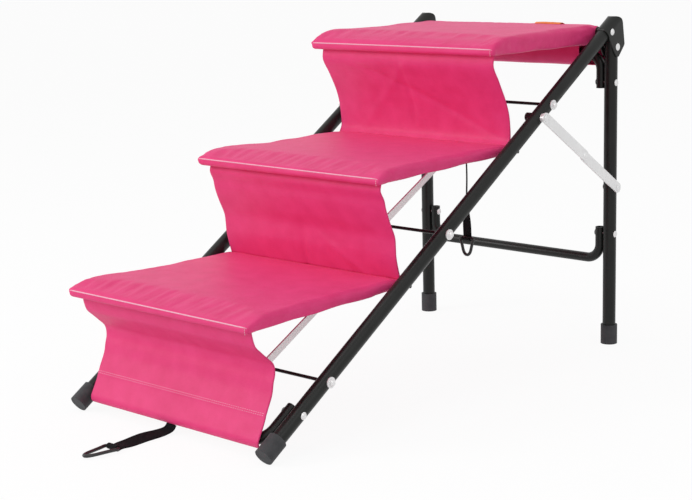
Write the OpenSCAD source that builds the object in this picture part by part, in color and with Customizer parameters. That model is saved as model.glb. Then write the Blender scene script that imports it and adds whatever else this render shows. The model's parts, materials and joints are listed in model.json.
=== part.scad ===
/* [Frame] */
// Outer diameter of the rails and rear legs
tube_d = 22; // [18:1:26]
// Wall of every tube
tube_wall = 1.5; // [1:0.1:2]
// Distance from the middle plane to each rail's axis
rail_x = 201; // [170:1:240]
// Angle of the rails above the floor
rail_angle = 32.66; // [30:0.1:35]
// Distance along the rail from its foot to the saddle rivet
saddle_s = 963; // [940:1:990]
// Length of rail beyond the saddle rivet
rail_end = 22; // [20:1:25]
// Depth of the leg hinge below the rail's axis
hinge_drop = 30.4; // [28:0.1:36]
// Length of rear leg above its hinge
leg_end = 13; // [10:1:14]

/* [Feet] */
// Outer diameter of the rubber foot caps
foot_d = 28; // [25:1:32]
// Length of the rubber foot caps
foot_len = 33; // [25:1:45]
// Rubber under the tube's end
foot_base = 4; // [2:1:8]

/* [Crossbars] */
// Outer diameter of the three bent crossbars
cross_d = 16; // [12:1:18]
// Bend radius of the crossbars
cross_bend = 26; // [22:1:32]
// Distance along the rail to the front crossbar
front_cross_s = 23; // [18:1:30]
// Length of the front crossbar's side arms
front_cross_arm = 68; // [60:1:90]
// Height of the lower rear crossbar
low_cross_z = 145; // [120:1:180]
// Height of the upper rear crossbar below the leg hinge
high_cross_drop = 13; // [11:0.5:14]
// Length of the rear crossbars' side arms
cross_arm = 56; // [45:1:70]
// Distance from a crossbar arm's end to its rivet
cross_rivet_end = 10; // [8:1:14]

/* [Tie rods] */
// Diameter of the tie rods
rod_d = 5; // [4:0.5:8]
// Distance along the rail to the first tie rod
rod_s = 146; // [130:1:160]
// Distance along the rail from one step to the next
step_pitch = 311.5; // [300:0.5:320]
// Diameter of the tie rod washers
washer_d = 16; // [14:1:18]
// Thickness of the tie rod washers
washer_t = 1.5; // [1:0.1:2]
// Diameter of the tie rod cap nuts
nut_d = 10; // [9:0.5:13]
// Height of the tie rod cap nuts
nut_h = 5; // [4:0.5:7]

/* [Saddle brackets] */
// Thickness of the saddle bracket's sheet
saddle_t = 2; // [1.5:0.1:2.5]
// Length of the saddle bracket along the rail
saddle_len = 46; // [44:1:50]
// Distance along the rail from the saddle rivet to the bracket's rear corner
saddle_reach = 20.3; // [18:0.1:22]
// Depth of the saddle bracket below the rail's axis
saddle_drop = 45; // [40:1:50]

/* [Rivets] */
// Shaft diameter of the small rivets
rivet_d = 6; // [4:0.5:7]
// Head diameter of the small rivets
rivet_head_d = 11; // [9:0.5:13]
// Head height of the rivets
rivet_head_h = 1.6; // [1:0.1:2.5]
// Shaft diameter of the leg hinge rivets
hinge_d = 8; // [6:0.5:9]
// Head diameter of the leg hinge rivets
hinge_head_d = 12; // [10:0.5:16]

/* [Side braces] */
// Width of the brace links
link_w = 17; // [14:1:20]
// Thickness of the brace links
link_t = 2.5; // [2:0.1:3]
// Distance along the rail to the front link's pivot
link_s = 736; // [720:1:750]
// Length of the front link between its pivots
link_len = 130; // [125:1:135]
// Distance from the leg hinge down to the rear link's pivot
link_leg = 235; // [225:1:245]
// Diameter of the spacers beside the links
spacer_d = 14; // [12:1:17]
// Length of the knobs on the rails' inner sides
knob_len = 8; // [6:1:12]

/* [Steps] */
// Horizontal distance from one step to the next
step_run = 265.8; // [255:0.2:275]
// Height from one step to the next
step_rise = 164.8; // [155:0.2:170]
// Height of the first step
first_rise = 193; // [180:1:205]
// Distance of the first step's front edge before the rails' feet
first_over = 13; // [0:1:25]
// Diameter of the bars inside the steps' front edges
nose_bar_d = 8; // [6:0.5:10]
// Diameter of the bars in the creases between the steps
crease_bar_d = 6; // [5:0.5:8]
// Distance along the rail to the first crease bar
crease_s = 357; // [345:1:370]
// Half length of the steps' front bars
nose_half = 190; // [170:1:198]

/* [Step brackets] */
// Width of the flat arms that hold the step bars
arm_w = 14; // [12:1:18]
// Thickness of the flat arms
arm_t = 3; // [2:0.5:4]
// Diameter of the arms' eyes round the step bars
eye_d = 11; // [10:0.5:11.5]
// Distance from the middle plane to the flat arms
arm_x = 77; // [50:1:110]
// Distance from a step's seam back to the end of its front arms
arm_back = 14; // [13:1:25]

/* [Cloth] */
// Thickness of the step cloth
cloth_t = 1.6; // [1:0.1:2.4]
// Half width of the cloth at the steps' front edges
cloth_front_half = 193; // [175:1:200]
// Gap between the padded steps and the rails
cloth_gap = 4; // [4:1:20]
// Gap between the hanging front faces and the rails
riser_gap = 9; // [8:1:25]
// Distance from a step's front edge back to the seam of its front face
seam_back = 18; // [16:1:26]
// Depth of the first front face's curve
riser_1_depth = 42; // [30:1:50]
// Height of the two lower steps' tops above their front bars
pad_crown = 16; // [12:0.5:18]
// Height of the top step's top above its front bar
top_pad_crown = 22; // [18:0.5:24]
// Length over which a step's top rises from its front edge
pad_round = 50; // [40:1:70]
// Padding round the crease bars
pad_cover = 4; // [4:0.5:6]
// Depth of the top step's padding below the top crossbar's axis
top_pad_drop = 21.5; // [19:0.5:22]
// Height of the rear flap's lower edge below the leg hinge
flap_drop = 31; // [26:1:36]
// Distance of the rear flap behind the leg hinge
flap_back = 11; // [11:0.5:14]
// Gap between the rear flap and the rails
flap_gap = 6; // [6:1:20]

/* [Straps] */
// Width of the webbing straps
strap_w = 20; // [15:1:20]
// Thickness of the webbing straps
strap_t = 1.6; // [1:0.1:2.4]
// Distance of the floor strap from the middle plane
floor_strap_x = 12; // [0:1:60]
// Distance from the rails' feet forward to the floor strap's ring
floor_strap_out = 86; // [60:1:110]
// Distance of the hanging strap from the middle plane
hang_strap_x = 97; // [90:1:140]
// Height of the hanging strap's lower end
hang_strap_z = 212; // [190:1:230]
// Wire diameter of the strap rings
ring_wire_d = 4; // [3:0.5:6]
// Width of the floor strap's ring
floor_ring_w = 33; // [33:1:40]
// Length of the floor strap's ring
floor_ring_len = 52; // [40:1:70]
// Width of the hanging strap's ring
hang_ring_w = 33; // [33:1:40]
// Length of the hanging strap's ring
hang_ring_len = 30; // [24:1:40]
// Width of the blank label tab
tab_w = 52; // [30:1:70]
// Depth of the blank label tab
tab_len = 14; // [10:1:20]
// Distance of the blank label tab from the middle plane
tab_x = 91; // [0:1:120]

/* [Hidden] */
$fn = 48;

// Clearances and overruns
fit = 0.05;
gap = 0.3;
over = 1;

// Colours
frame_color = [0.06, 0.06, 0.06];
rubber_color = [0.12, 0.12, 0.12];
steel_color = [0.82, 0.82, 0.83];
cloth_color = [0.91, 0.2, 0.45];
webbing_color = [0.05, 0.05, 0.05];
tab_color = [0.95, 0.45, 0.12];

// The rail's foot touches the floor with the lower rim of its cap
foot_z = foot_d / 2 * cos(rail_angle);

// Rail places: along the rail, and square above its axis
function rail_y(s, n) = s * cos(rail_angle) - n * sin(rail_angle);
function rail_z(s, n) = foot_z + s * sin(rail_angle) + n * cos(rail_angle);
function rail_point(s, n) = [rail_y(s, n), rail_z(s, n)];

hinge = rail_point(saddle_s, -hinge_drop);
link_front_point = rail_point(link_s, 0);
link_rear_point = [hinge[0], hinge[1] - link_leg];

// Saddle bracket
saddle_corner_r = 6;
saddle_half = tube_d / 2 + gap + saddle_t;
saddle_dome = saddle_s + rail_end - over;
saddle_rear = saddle_s + saddle_reach;
saddle_front = saddle_dome + saddle_half - saddle_len;
saddle_rear_n = hinge_drop + saddle_corner_r / 2;

// The origin is at the middle of the stairs' footprint
floor_ring_y = -floor_strap_out;
front_end = floor_ring_y - floor_ring_len;
rear_end = rail_y(saddle_rear - saddle_corner_r, -saddle_rear_n) + saddle_corner_r;
origin_y = (front_end + rear_end) / 2;

// Lanes of the links outside the rails, from the tube's side outwards
tube_out = rail_x + tube_d / 2;
tube_in = rail_x - tube_d / 2;
rear_lane = tube_out + rivet_head_h + 2 * gap;
front_lane = rear_lane + link_t + gap;
front_lane_out = front_lane + link_t;
cross_x = tube_in - gap - cross_d / 2;
cloth_half = tube_in - cloth_gap;
riser_half = tube_in - riser_gap;
flap_half = tube_in - flap_gap;
cross_straight = cross_x - cross_bend;

// Step bars
nose_r = nose_bar_d / 2 + gap + cloth_t;
nose_centres = [for (k = [0:2])
    [k * step_run - first_over + nose_r, k * step_rise + first_rise - nose_r]];
crease_n = -tube_d / 2 - gap - crease_bar_d / 2;
crease_centres = [for (k = [0:1]) rail_point(crease_s + k * step_pitch, crease_n)];
rod_points = [for (k = [0:2]) rail_point(rod_s + k * step_pitch, 0)];
crease_pad_r = crease_bar_d / 2 + gap + pad_cover;
top_bar = rail_point(saddle_s, 0);
front_cross = rail_point(front_cross_s, 0);
hem_r = cross_d / 2 + gap + cloth_t;
high_cross = [hinge[0], hinge[1] - high_cross_drop];

// Unit vector and point helpers
function unit(v) = v / norm(v);
function turn(v) = [-v[1], v[0]];
function ends_dir(p, i) = unit(p[min(i + 1, len(p) - 1)] - p[max(i - 1, 0)]);

// A bent sheet seen from its edge
module strip(p, t) {
    a = [for (i = [0:len(p) - 1]) p[i] + turn(ends_dir(p, i)) * t / 2];
    b = [for (i = [len(p) - 1:-1:0]) p[i] - turn(ends_dir(p, i)) * t / 2];
    polygon(concat(a, b));
}

// Points along an arc, from one angle to another
arc_step = 18;
function arc(c, r, a0, a1) = let (n = ceil(abs(a1 - a0) / arc_step))
    [for (i = [0:n]) let (w = a0 + (a1 - a0) * i / n) c + r * [cos(w), sin(w)]];

// A side outline spread across the stairs
module across(x0, x1) {
    translate([x0, 0, 0])
        rotate([90, 0, 90])
            linear_extrude(x1 - x0) children();
}

// Places the whole stairs on the origin
module placed() {
    translate([0, -origin_y, 0]) children();
}

// The rail's own frame: x across, y along the rail, z square above it
module on_rail() {
    placed() translate([0, 0, foot_z]) rotate([rail_angle, 0, 0]) children();
}

module both_sides() {
    for (m = [0, 1]) mirror([m, 0, 0]) children();
}

// Round bar along x between two places
module bar_x(x0, x1, d) {
    translate([x0, 0, 0]) rotate([0, 90, 0]) cylinder(h = x1 - x0, d = d);
}

// Round bar along y between two places
module bar_y(y0, y1, d) {
    translate([0, y0, 0]) rotate([-90, 0, 0]) cylinder(h = y1 - y0, d = d);
}

// Rivet along x with a head at each end
module rivet(x0, x1, d, head_d) {
    bar_x(x0, x1, d);
    rivet_head(x1, head_d);
    mirror([1, 0, 0]) rivet_head(-x0, head_d);
}

head_top_share = 0.6;
module rivet_head(x, head_d) {
    translate([x, 0, 0])
        rotate([0, 90, 0])
            cylinder(h = rivet_head_h, d1 = head_d, d2 = head_d * head_top_share);
}

// Rails
module right_rail() {
    color(frame_color) on_rail() translate([rail_x, 0, 0]) difference() {
        bar_y(foot_base, saddle_s + rail_end, tube_d);
        bar_y(foot_base - over, saddle_s + rail_end + over, tube_d - 2 * tube_wall);
        for (s = [rod_s, rod_s + step_pitch, rod_s + 2 * step_pitch])
            translate([0, s, 0]) bar_x(-tube_d, tube_d, rod_d + 2 * fit);
        for (s = [front_rivet_s, link_s, saddle_s])
            translate([0, s, 0]) bar_x(-tube_d, tube_d, rivet_d + 2 * fit);
    }
}

module left_rail() {
    mirror([1, 0, 0]) right_rail();
}

// Rubber foot cap, closed at its lower end
module foot_cap() {
    difference() {
        bar_y(0, foot_len, foot_d);
        bar_y(foot_base, foot_len + over, tube_d + 2 * fit);
    }
}

module right_front_foot() {
    color(rubber_color) on_rail() translate([rail_x, 0, 0]) foot_cap();
}

module left_front_foot() {
    mirror([1, 0, 0]) right_front_foot();
}

module right_rear_foot() {
    color(rubber_color) placed() translate([rail_x, hinge[0], 0]) rotate([90, 0, 0]) foot_cap();
}

module left_rear_foot() {
    mirror([1, 0, 0]) right_rear_foot();
}

// Crossbar bent at both ends, lying in the xy plane with its arms along +y
module u_tube(arm, d, ends) {
    bar_x(-cross_straight, cross_straight, d);
    both_sides() {
        translate([cross_straight, cross_bend, 0])
            rotate([0, 0, -90])
                rotate_extrude(angle = 90) translate([cross_bend, 0]) circle(d = d);
        translate([cross_x, 0, 0]) bar_y(cross_bend, arm + ends, d);
    }
}

module crossbar(arm) {
    difference() {
        u_tube(arm, cross_d, 0);
        u_tube(arm, cross_d - 2 * tube_wall, over);
        both_sides() translate([cross_x, arm - cross_rivet_end, 0])
            bar_x(-cross_d, cross_d, rivet_d + 2 * fit);
    }
}

front_rivet_s = front_cross_s + front_cross_arm - cross_rivet_end;

module front_crossbar() {
    color(frame_color) on_rail() translate([0, front_cross_s, 0]) crossbar(front_cross_arm);
}

// Rivet through a tube and the crossbar arm beside it
module cross_rivet() {
    rivet(cross_x - cross_d / 2, tube_out, rivet_d, rivet_head_d);
}

module front_crossbar_rivets() {
    color(steel_color) on_rail() both_sides() translate([0, front_rivet_s, 0]) cross_rivet();
}

// Tie rods
module tie_rod(k) {
    color(frame_color) on_rail() translate([0, rod_s + k * step_pitch, 0])
        bar_x(-rod_half, rod_half, rod_d);
}

rod_half = tube_out + washer_t + nut_h / 2;

module tie_rod_1() {
    tie_rod(0);
}

module tie_rod_2() {
    tie_rod(1);
}

module tie_rod_3() {
    tie_rod(2);
}

module at_rod_ends() {
    on_rail() both_sides() for (k = [0:2]) translate([0, rod_s + k * step_pitch, 0]) children();
}

module tie_rod_washers() {
    color(steel_color) at_rod_ends() difference() {
        bar_x(tube_out, tube_out + washer_t, washer_d);
        bar_x(tube_out - over, tube_out + washer_t + over, rod_d + 2 * fit);
    }
}

nut_face_share = 0.6;
module tie_rod_nuts() {
    nut_in = tube_out + washer_t;
    color(steel_color) at_rod_ends() difference() {
        union() {
            bar_x(nut_in, nut_in + nut_h * nut_face_share, nut_d);
            translate([nut_in + nut_h * nut_face_share, 0, 0]) rotate([0, 90, 0])
                cylinder(h = nut_h * (1 - nut_face_share), d1 = nut_d, d2 = nut_d * nut_face_share);
        }
        bar_x(nut_in - over, rod_half, rod_d + 2 * fit);
    }
}

// Saddle bracket: a folded sheet over the rail's end that reaches down to the leg hinge

// Side outline of the saddle: its corners as places along and above the rail
module saddle_outline() {
    hull() {
        translate([saddle_front + saddle_corner_r, saddle_half - saddle_corner_r])
            circle(r = saddle_corner_r, $fn = 32);
        translate([saddle_dome, 0]) circle(r = saddle_half);
        translate([saddle_rear - saddle_corner_r, -saddle_rear_n])
            circle(r = saddle_corner_r, $fn = 32);
        translate([saddle_s - saddle_corner_r, saddle_corner_r - saddle_drop])
            circle(r = saddle_corner_r, $fn = 32);
    }
}

// Everything below the rail's axis and before a distance along it, between two sides
module below_rail(half, s1) {
    translate([-half, 0, -2 * saddle_drop]) cube([2 * half, s1, 2 * saddle_drop]);
}

// Room for the rail, closing to a blunt cone past its end
cone_share = 0.3;
module rail_room(r) {
    s1 = saddle_s + rail_end + gap;
    bar_y(0, s1, 2 * r);
    translate([0, s1, 0]) rotate([-90, 0, 0])
        cylinder(h = saddle_dome + saddle_half - saddle_t - s1, r1 = r, r2 = r * cone_share);
}

module right_saddle_bracket() {
    inner = tube_d / 2 + gap;
    past = saddle_dome + saddle_half + over;
    color(frame_color) on_rail() translate([rail_x, 0, 0]) difference() {
        intersection() {
            across(-saddle_half, saddle_half) saddle_outline();
            union() {
                bar_y(0, past, 2 * saddle_half);
                below_rail(saddle_half, past);
            }
        }
        rail_room(inner);
        below_rail(inner, saddle_s);
        intersection() {
            across(-inner, inner) offset(delta = -saddle_t) saddle_outline();
            below_rail(inner, past);
        }
        translate([0, 0, -saddle_half]) below_rail(inner, past);
        translate([0, saddle_s, 0]) bar_x(-2 * inner, 2 * inner, rivet_d + 2 * fit);
        translate([0, saddle_s, -hinge_drop]) bar_x(-2 * inner, 2 * inner, hinge_d + 2 * fit);
    }
}

module left_saddle_bracket() {
    mirror([1, 0, 0]) right_saddle_bracket();
}

module saddle_rivets() {
    color(steel_color) on_rail() both_sides() translate([rail_x, saddle_s, 0])
        rivet(-saddle_half, saddle_half, rivet_d, rivet_head_d);
}

module hinge_rivets() {
    color(steel_color) on_rail() both_sides() translate([rail_x, saddle_s, -hinge_drop])
        rivet(-saddle_half, saddle_half, hinge_d, hinge_head_d);
}

// Flat arm from the tie rod to another place, seen from its side and a little narrower than its eyes
arm_share = 0.85;
module flat_arm(p, q, grow) {
    d = q - p;
    rod_half_w = arm_share * arm_w / 2 + grow;
    end_half_w = arm_share * eye_d / 2 + grow;
    far = norm(d) + grow;
    translate(p) rotate(atan2(d[1], d[0])) polygon([
        [0, -rod_half_w], [far, -end_half_w], [far, end_half_w], [0, rod_half_w]
    ]);
}

// All the arms of one step: one let into its padding behind the front seam, and one to its crease bar
module step_arms(k, grow) {
    translate(rod_points[k]) circle(d = arm_w + 2 * grow);
    flat_arm(rod_points[k], [seam_y[k] + arm_back, nose_centres[k][1] - nose_bar_d / 2], grow);
    if (k < 2) {
        flat_arm(rod_points[k], crease_centres[k], grow);
        translate(crease_centres[k]) circle(d = eye_d + 2 * grow);
    }
}

module step_bracket(k) {
    color(steel_color) placed() both_sides() across(arm_x - arm_t / 2, arm_x + arm_t / 2) difference() {
        step_arms(k, 0);
        translate(rod_points[k]) circle(d = rod_d + 2 * fit);
        if (k < 2) translate(crease_centres[k]) circle(d = crease_bar_d + 2 * fit);
    }
}

module step_bracket_1() {
    step_bracket(0);
}

module step_bracket_2() {
    step_bracket(1);
}

module step_bracket_3() {
    step_bracket(2);
}

// Slots in the padding where the arms of one step are let in
module arm_slots(k) {
    both_sides() across(arm_x - arm_t / 2 - gap, arm_x + arm_t / 2 + gap) step_arms(k, gap);
}

// Bars that the cloth is stretched over
module nose_bar(k) {
    color(frame_color) placed() translate([0, nose_centres[k][0], nose_centres[k][1]])
        bar_x(-nose_half, nose_half, nose_bar_d);
}

module nose_bar_1() {
    nose_bar(0);
}

module nose_bar_2() {
    nose_bar(1);
}

module nose_bar_3() {
    nose_bar(2);
}

module crease_bar(k) {
    color(frame_color) placed() translate([0, crease_centres[k][0], crease_centres[k][1]])
        bar_x(-rail_x, rail_x, crease_bar_d);
}

module crease_bar_1() {
    crease_bar(0);
}

module crease_bar_2() {
    crease_bar(1);
}

// Tube between the tops of the rails, with the saddle rivets' inner heads in its ends
module top_crossbar() {
    half = rail_x - saddle_half - gap;
    color(frame_color) placed() translate([0, top_bar[0], top_bar[1]]) difference() {
        bar_x(-half, half, cross_d);
        bar_x(-half - over, half + over, cross_d - 2 * tube_wall);
    }
}

// Padded steps, each from its front bar to the crease bar or the top crossbar
seam_y = [for (k = [0:2]) nose_centres[k][0] - nose_r + seam_back];
rear_bars = [crease_centres[0], crease_centres[1], top_bar];
rear_bar_d = [crease_bar_d, crease_bar_d, cross_d];
rear_pad_r = [crease_pad_r, crease_pad_r, hem_r];
pad_crowns = [pad_crown, pad_crown, top_pad_crown];
pad_corner_r = 5;

// Rise of a step's top from its front edge: shares of the length and of the height
crown_shares = [[-0.06, 0.36], [0.06, 0.62], [0.24, 0.83], [0.5, 0.95], [1, 1]];

// A step's padding seen from its side: round the front bar, over the top and round the rear bar
nose_end = -200;
function pad_points(k) = concat(
    arc(nose_centres[k], nose_r, -90, nose_end),
    [for (e = crown_shares) nose_centres[k] + [e[0] * pad_round, e[1] * pad_crowns[k]]],
    arc(rear_bars[k], rear_pad_r[k], 90, k < 2 ? -90 : 0),
    k < 2 ? [] : arc(
        top_bar + [hem_r - pad_corner_r, pad_corner_r - top_pad_drop], pad_corner_r, 0, -90
    )
);

// Plan of a step: full width in front, narrower between the rails
taper_share = 0.75;
module tread_plan(k) {
    front = nose_centres[k][0] - 2 * nose_r;
    rear = rear_bars[k][0] + rear_pad_r[k] + over;
    taper_y = nose_centres[k][0] + taper_share * step_run;
    translate([0, 0, nose_centres[k][1] - nose_bar_d * 4])
        linear_extrude(nose_bar_d * 9) polygon([
            [-cloth_front_half, front], [cloth_front_half, front],
            [cloth_front_half, nose_centres[k][0]], [cloth_half, taper_y],
            [cloth_half, rear], [-cloth_half, rear],
            [-cloth_half, taper_y], [-cloth_front_half, nose_centres[k][0]]
        ]);
}

module tread(k) {
    color(cloth_color) placed() difference() {
        intersection() {
            across(-cloth_front_half, cloth_front_half) difference() {
                polygon(pad_points(k));
                translate(nose_centres[k]) circle(d = nose_bar_d + 2 * gap);
                translate(rear_bars[k]) circle(d = rear_bar_d[k] + 2 * gap);
            }
            tread_plan(k);
        }
        arm_slots(k);
    }
}

module tread_1() {
    tread(0);
}

module tread_2() {
    tread(1);
}

module tread_3() {
    tread(2);
}

// Front faces: each row is a share of the drop and a share of the depth
face_shares = [
    [
        [0.14, 0.14], [0.21, 0.4], [0.27, 0.64], [0.35, 0.93], [0.44, 0.98],
        [0.52, 0.9], [0.62, 0.81], [0.745, 0.6], [0.87, 0.4]
    ],
    [
        [0.065, -0.05], [0.165, 0.13], [0.255, 0.21], [0.415, 0.45], [0.56, 0.69],
        [0.675, 0.73], [0.755, 0.75]
    ],
    [
        [0.115, -0.04], [0.295, 0.38], [0.5, 0.83], [0.68, 1.08], [0.925, 1.16]
    ]
];

face_top = [for (k = [0:2]) [seam_y[k], nose_centres[k][1] - nose_r - 2 * gap]];
hem_start = 150;
hem_end = 420;
face_foot_angle = 80;
foot_reach = (crease_pad_r + cloth_t / 2) * [cos(face_foot_angle), sin(face_foot_angle)];
face_bottom = [
    arc(front_cross, hem_r - cloth_t / 2, hem_start, hem_end)[0],
    crease_centres[0] + foot_reach,
    crease_centres[1] + foot_reach
];
face_depth = [riser_1_depth, face_bottom[1][0] - face_top[1][0], face_bottom[2][0] - face_top[2][0]];

function face_points(k) = concat(
    [face_top[k]],
    [for (e = face_shares[k]) [
        face_top[k][0] + e[1] * face_depth[k],
        face_top[k][1] - e[0] * (face_top[k][1] - face_bottom[k][1])
    ]],
    k == 0 ? arc(front_cross, hem_r - cloth_t / 2, hem_start, hem_end) : [face_bottom[k]]
);

// The hem's sleeve stops where the front crossbar bends, and its front layer goes on
module hem_cut() {
    both_sides() translate([cross_straight - over, front_cross[0] - hem_r + cloth_t, 0])
        cube([cross_bend * 2, 2 * hem_r, front_cross[1] + 2 * hem_r]);
}

module riser_1() {
    color(cloth_color) placed() difference() {
        across(-riser_half, riser_half) strip(face_points(0), cloth_t);
        hem_cut();
    }
}

module riser(k) {
    color(cloth_color) placed() across(-riser_half, riser_half) strip(face_points(k), cloth_t);
}

module riser_2() {
    riser(1);
}

module riser_3() {
    riser(2);
}

// Blank tab sewn on the rear of the top step
module label_tab() {
    z = top_bar[1] + hem_r + gap + cloth_t / 4;
    color(tab_color) placed() across(tab_x - tab_w / 2, tab_x + tab_w / 2)
        strip([[top_bar[0] - tab_len, z], [top_bar[0], z]], cloth_t / 2);
}

// The top step's cloth hangs down behind the legs' upper crossbar
flap_lead = 2;
module rear_flap() {
    back = hinge[0] + flap_back;
    start = top_bar + [hem_r + gap + cloth_t / 2, flap_lead];
    color(cloth_color) placed() across(-flap_half, flap_half)
        strip([start, [back, hinge[1] - flap_lead], [back, hinge[1] - flap_drop]], cloth_t);
}

// Straps
floor_lift = gap;
loop_r = ring_wire_d * sqrt(2) / 2 + gap + strap_t;
floor_loop = [floor_ring_y, loop_r + floor_lift];
hang_loop = [crease_centres[1][0], hang_strap_z];
sag_share = 0.5;

module floor_strap() {
    top = front_cross - [0, hem_r + gap];
    low = floor_lift + strap_t / 2;
    color(webbing_color) placed() across(-floor_strap_x - strap_w / 2, -floor_strap_x + strap_w / 2)
        strip(concat(
            [top, top - [strap_t, top[1] * sag_share], [front_cross[0] - hem_r, low + strap_t], [0, low]],
            arc(floor_loop, loop_r - strap_t / 2, -90, -380)
        ), strap_t);
}

module hanging_strap() {
    top = crease_centres[1] - [0, crease_pad_r + gap];
    color(webbing_color) placed() across(hang_strap_x - strap_w / 2, hang_strap_x + strap_w / 2)
        strip(concat(
            [top, hang_loop + [0, 3 * loop_r]],
            arc(hang_loop, loop_r - strap_t / 2, 90, -200)
        ), strap_t);
}

// Three-cornered ring: a straight bar on the y axis' start and a rounded tip
tip_share = 0.3;
module ring_outline(w, len) {
    r = ring_wire_d / 2;
    module corners(rr) {
        hull() {
            translate([r - w / 2, 0]) circle(r = rr, $fn = 24);
            translate([w / 2 - r, 0]) circle(r = rr, $fn = 24);
            translate([-w * tip_share / 2, r - len]) circle(r = rr, $fn = 24);
            translate([w * tip_share / 2, r - len]) circle(r = rr, $fn = 24);
        }
    }
    difference() {
        corners(r);
        offset(delta = -ring_wire_d) corners(r);
    }
}

module floor_strap_ring() {
    color(webbing_color) placed()
        translate([-floor_strap_x, floor_loop[0], floor_loop[1] - ring_wire_d / 2])
            linear_extrude(ring_wire_d) ring_outline(floor_ring_w, floor_ring_len);
}

module hanging_strap_ring() {
    color(webbing_color) placed()
        translate([hang_strap_x, hang_loop[0] + ring_wire_d / 2, hang_loop[1]])
            rotate([90, 0, 0]) linear_extrude(ring_wire_d) ring_outline(hang_ring_w, hang_ring_len);
}

// Rear legs
low_rivet_z = low_cross_z + cross_arm - cross_rivet_end;
high_rivet_z = high_cross[1] - cross_arm + cross_rivet_end;

module at_leg(z) {
    placed() translate([0, hinge[0], z]) children();
}

module right_leg() {
    top = hinge[1] + leg_end;
    color(frame_color) at_leg(0) translate([rail_x, 0, 0]) difference() {
        translate([0, 0, foot_base]) cylinder(h = top - foot_base, d = tube_d);
        translate([0, 0, foot_base - over])
            cylinder(h = top - foot_base + 2 * over, d = tube_d - 2 * tube_wall);
        translate([0, 0, hinge[1]]) bar_x(-tube_d, tube_d, hinge_d + 2 * fit);
        for (z = [low_rivet_z, high_rivet_z, link_rear_point[1]])
            translate([0, 0, z]) bar_x(-tube_d, tube_d, rivet_d + 2 * fit);
    }
}

module left_leg() {
    mirror([1, 0, 0]) right_leg();
}

module lower_crossbar() {
    color(frame_color) at_leg(low_cross_z) rotate([90, 0, 0]) crossbar(cross_arm);
}

module upper_crossbar() {
    color(frame_color) at_leg(high_cross[1]) rotate([-90, 0, 0]) crossbar(cross_arm);
}

module rear_crossbar_rivets() {
    color(steel_color) both_sides() for (z = [low_rivet_z, high_rivet_z]) at_leg(z) cross_rivet();
}

// Side braces
link_mid = link_front_point + link_len * unit(link_rear_point - link_front_point);

module link_outline(p, q) {
    d = q - p;
    difference() {
        union() {
            translate(p) rotate(atan2(d[1], d[0])) translate([0, -link_w / 2]) square([norm(d), link_w]);
            translate(p) circle(d = link_w);
            translate(q) circle(d = link_w);
        }
        translate(p) circle(d = rivet_d + 2 * fit);
        translate(q) circle(d = rivet_d + 2 * fit);
    }
}

module right_front_link() {
    color(steel_color) placed() across(front_lane, front_lane_out)
        link_outline(link_front_point, link_mid);
}

module left_front_link() {
    mirror([1, 0, 0]) right_front_link();
}

module right_rear_link() {
    color(steel_color) placed() across(rear_lane, rear_lane + link_t)
        link_outline(link_mid, link_rear_point);
}

module left_rear_link() {
    mirror([1, 0, 0]) right_rear_link();
}

// The middle rivet stays with the front link
module right_mid_rivet() {
    color(steel_color) placed() translate([0, link_mid[0], link_mid[1]]) {
        bar_x(front_lane, front_lane_out, rivet_d);
        rivet_head(front_lane_out, rivet_head_d);
    }
}

module left_mid_rivet() {
    mirror([1, 0, 0]) right_mid_rivet();
}

module brace_front_rivets() {
    color(steel_color) on_rail() both_sides() translate([0, link_s, 0]) {
        bar_x(tube_in - knob_len / 2, front_lane_out + gap, rivet_d);
        rivet_head(front_lane_out + gap, rivet_head_d);
    }
}

module brace_front_spacers() {
    color(steel_color) on_rail() both_sides() translate([0, link_s, 0]) difference() {
        bar_x(tube_out, front_lane - gap, spacer_d);
        bar_x(tube_out - over, front_lane, rivet_d + 2 * fit);
    }
}

module brace_knobs() {
    color(frame_color) on_rail() both_sides() translate([0, link_s, 0]) difference() {
        bar_x(tube_in - knob_len, tube_in, spacer_d);
        bar_x(tube_in - knob_len / 2, tube_in + over, rivet_d + 2 * fit);
    }
}

module brace_rear_rivets() {
    color(steel_color) at_leg(link_rear_point[1]) both_sides()
        rivet(tube_in, rear_lane + link_t + gap, rivet_d, rivet_head_d);
}

module brace_rear_spacers() {
    color(steel_color) at_leg(link_rear_point[1]) both_sides() difference() {
        bar_x(tube_out, rear_lane - gap, spacer_d);
        bar_x(tube_out - over, rear_lane, rivet_d + 2 * fit);
    }
}

left_rail();
right_rail();
left_front_foot();
right_front_foot();
front_crossbar();
front_crossbar_rivets();
tie_rod_1();
tie_rod_2();
tie_rod_3();
tie_rod_washers();
tie_rod_nuts();
left_saddle_bracket();
right_saddle_bracket();
saddle_rivets();
hinge_rivets();
step_bracket_1();
step_bracket_2();
step_bracket_3();
nose_bar_1();
nose_bar_2();
nose_bar_3();
crease_bar_1();
crease_bar_2();
top_crossbar();
riser_1();
riser_2();
riser_3();
tread_1();
tread_2();
tread_3();
rear_flap();
label_tab();
brace_front_rivets();
brace_front_spacers();
brace_knobs();
floor_strap();
floor_strap_ring();
hanging_strap();
hanging_strap_ring();
left_leg();
right_leg();
left_rear_foot();
right_rear_foot();
upper_crossbar();
lower_crossbar();
rear_crossbar_rivets();
brace_rear_rivets();
brace_rear_spacers();
left_front_link();
right_front_link();
left_mid_rivet();
right_mid_rivet();
left_rear_link();
right_rear_link();
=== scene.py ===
import json
import math

import bmesh
import bpy
import numpy as np
from mathutils import Matrix, Vector, noise


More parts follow.
